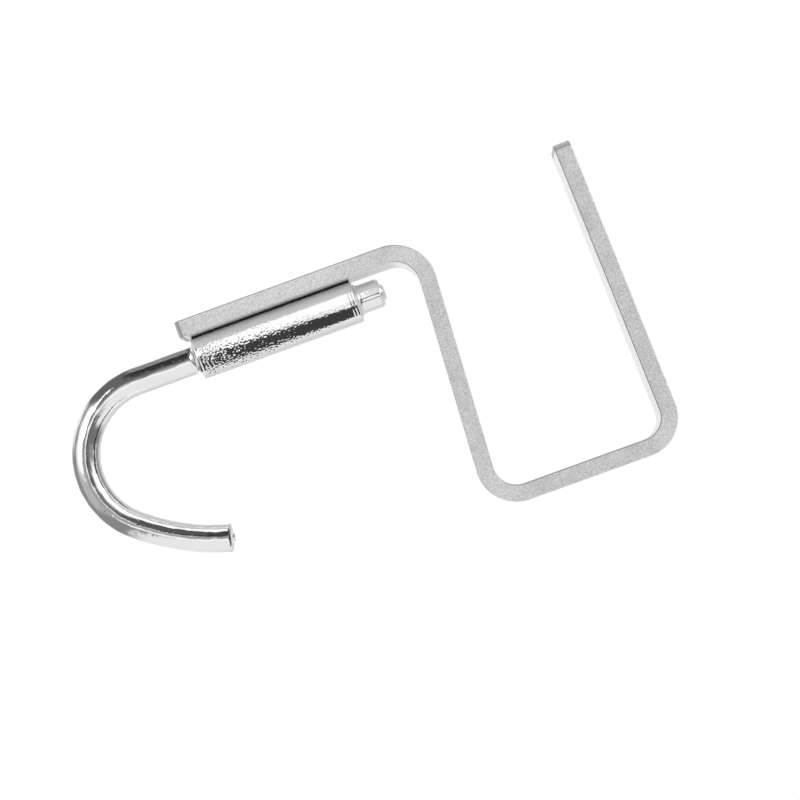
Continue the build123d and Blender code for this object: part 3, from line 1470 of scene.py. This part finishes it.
@dataclass(frozen=True)
class Lamp:
    """A soft square lamp in one of the picture's directions, turned to the object.

    Attributes:
        polar, azimuth: its angle from the camera's direction, and from the picture's right.
        size: its side.
        radiance: how bright it looks, 1 being white.
        middle: the place that it is turned to.
    """

    name: str
    polar: float
    azimuth: float
    distance: float = 0.7
    size: float = 0.3
    radiance: float = 1.5
    middle: tuple[float, float, float] = (-22 * MM, 0.0, -29 * MM)

    def build(self, axes: PictureAxes) -> None:
        """Hangs the lamp, whose power is pi times its radiance times its size squared.

        Args:
            axes: the picture's directions.
        """
        light = bpy.data.lights.new(self.name, "AREA")
        light.size = self.size
        light.energy = math.pi * self.radiance * self.size**2
        heading = axes.heading(self.polar, self.azimuth)
        place = Matrix.Translation(Vector(self.middle) + heading * self.distance)
        turned = heading.to_track_quat("Z", "Y").to_matrix().to_4x4()
        add_item(self.name, light).matrix_world = place @ turned


@dataclass(frozen=True)
class Studio:
    """A pale floor, a room with soft boxes and grey corners, five cards near the barrel, two lamps.

    Attributes:
        floor_half: half of the floor's side.
        floor_level: how pale it is.
        floor_glow: how much it glows to the camera, which makes it white where nothing shades it.
        room_level, wall_level: how bright the plain room is, and the wall that metal mirrors.
        shades: the parts of that wall, of which a later one covers an earlier one.
    """

    axes: PictureAxes = PictureAxes()
    floor_height: float = -120.0 * MM
    floor_half: float = 2.0
    floor_level: float = 0.85
    floor_roughness: float = 0.9
    floor_glow: float = 0.2
    room_level: float = 1.0
    wall_level: float = 0.9
    shades: tuple[Fan | Glow, ...] = (
        Fan("right wall", 0, 110, 112, 180, 40, 30, 0.72),
        Fan("left wall", 178, 82, 118, 180, 30, 24, 1.12),
        Fan("grey ring", 108, 133, 72, 123, 18, 22, 0.29),
        Fan("upper gap", 85, 19, 74, 126, 16, 14, 0.64),
        Fan("upper right shade", 54, 12, 86, 106, 12, 10, 0.10),
        Fan("lower right light", 324, 9, 82, 98, 9, 8, 0.80),
        Fan("left gap", 163, 12, 93, 126, 18, 20, 0.95),
        Fan("left half shade", 205, 17, 20, 74, 20, 8, 0.50),
        Fan("lower left shade", 229, 12, 20, 118, 10, 8, 0.27),
        Fan("left box", 168, 21, 27, 60, 14, 10, 1.15),
        Fan("left of the lens", 172, 48, 0, 22, 16, 8, 0.38),
        Fan("left dark spot", 158, 12, 11, 23, 8, 5, 0.18),
        Fan("left lower gap", 141, 7, 22, 36, 7, 6, 0.24),
        Fan("left low spot", 216, 6, 21, 29, 6, 4, 0.30),
        Fan("grey stand", 22, 62, 9, 41, 18, 4, 0.18),
        Glow("right box", 43, 58, 24, 20, 1.15),
        Fan("lower right shade", 315, 12, 11, 24, 10, 5, 0.42),
        Fan("dark ring", 2, 46, 11, 20, 10, 4, 0.10),
        Fan("white line", 305, 45, 0, 7, 20, 3, 1.12),
        Fan("upper shade", 94, 19, 15, 61, 12, 10, 0.10),
        Fan("upper left shade", 134, 15, 12, 116, 8, 14, 0.14),
        Fan("upper left corner", 113, 10, 14, 76, 8, 8, 0.035),
        Fan("right shade", 345, 11, 30, 84, 10, 20, 0.18),
        Fan("right half shade", 2, 9, 33, 68, 8, 10, 0.30),
        Fan("lower strip light", 258, 46, 9, 21, 16, 6, 1.0),
    )
    cards: tuple[Card, ...] = (
        Card("white_card", ((-59.6, 15.3), (-81.5, 65.7), (-50.5, 72.0), (-33.5, 25.0)), 22.0, 1.15),
        Card("pale_pin_card", ((-33.5, 25.0), (-44.4, 55.1), (-38.5, 57.6), (-28.0, 28.0)), 22.0, 0.80),
        Card("dark_card", ((-58.3, 15.5), (-37.2, -63.0), (-7.8, -52.5), (-32.8, 21.8)), 8.0, 0.05),
        Card("outer_pin_card", ((-33.1, 20.9), (-32.7, 19.9), (-29.0, 21.2), (-29.3, 22.3)), 8.0, 0.03),
        Card("inner_pin_card", ((-34.2, 24.2), (-34.0, 23.4), (-30.2, 24.7), (-30.5, 25.5)), 8.0, 0.03),
    )
    lamps: tuple[Lamp, ...] = (Lamp("upper_right_box", 58, 43), Lamp("left_box", 38, 166))

    WHITE = (1.0, 1.0, 1.0)

    def build_floor(self) -> None:
        """Makes the floor: pale, and white to the camera where nothing shades it."""
        bench = FinishBench("pale_floor")
        bench.shader.inputs["Specular IOR Level"].default_value = 0.0
        material = bench.dress(
            base_color=(self.floor_level,) * 3,
            roughness=self.floor_roughness,
            emission_color=self.WHITE,
            emission_strength=bench.work_out("MULTIPLY", bench.ray("Is Camera Ray"), self.floor_glow),
        )
        ways = ((-1, -1), (1, -1), (1, 1), (-1, 1))
        corners = [(x * self.floor_half, y * self.floor_half, self.floor_height) for x, y in ways]
        add_sheet("floor", corners, material).visible_glossy = False

    def build_room(self) -> None:
        """Sets the world: white to the camera, and soft boxes and grey corners to metal.

        Light that has met the object more than once sees a plain room. The renderer counts the room
        as one step deeper than a surface.
        """
        world = bpy.data.worlds.new("room")
        bpy.context.scene.world = world
        world.use_nodes = True
        world.cycles.sampling_method = "NONE"
        bench = NodeBench(world.node_tree)
        sky = Sky(bench, self.axes)
        level = self.wall_level
        for shade in self.shades:
            level = bench.blend(shade.share(sky), level, shade.level)
        level = bench.blend(bench.deeper_than(FIRST_REFLECTION + 1), level, self.room_level)
        level = bench.blend(bench.ray("Is Glossy Ray"), self.room_level, level)
        level = bench.blend(bench.ray("Is Camera Ray"), level, 1.0)
        level = bench.blend(bench.ray("Is Transmission Ray"), level, 1.0)
        back = bench.add("Background", color=self.WHITE, strength=level)
        bench.add("OutputWorld", surface=back.outputs[0])

    def build(self) -> None:
        """Makes the floor, the room, the cards and the lamps."""
        bpy.context.scene.view_settings.view_transform = "Standard"
        self.build_floor()
        self.build_room()
        for item in self.cards + self.lamps:
            item.build(self.axes)


def main() -> None:
    """Builds the camera, the studio and every piece."""
    logging.basicConfig(level=logging.INFO, format="%(name)s: %(message)s")
    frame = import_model()
    Viewpoint().build()
    Studio().build()

    strip = ClampStrip.from_frame(frame["record"])
    finish_piece(strip.build(), SatinPlate().material(), Body.CLAMP, "clamp_bracket")
    barrel = SwivelBarrel.from_frame()
    finish_piece(barrel.build(), PEBBLED.material(), Body.CLAMP, "swivel_barrel")
    weld = WeldWithPaintedShade().material()
    for side in Side:
        seam = WeldSeam.from_frame(side, barrel)
        finish_piece(seam.build(), weld, Body.CLAMP, side.name.lower() + "_weld")
    hook = SwivelHook.from_frame(frame["joints"][0])
    finish_piece(hook.build(), POLISHED.material(), Body.HOOK, "hook")


if __name__ == "__main__":
    main()
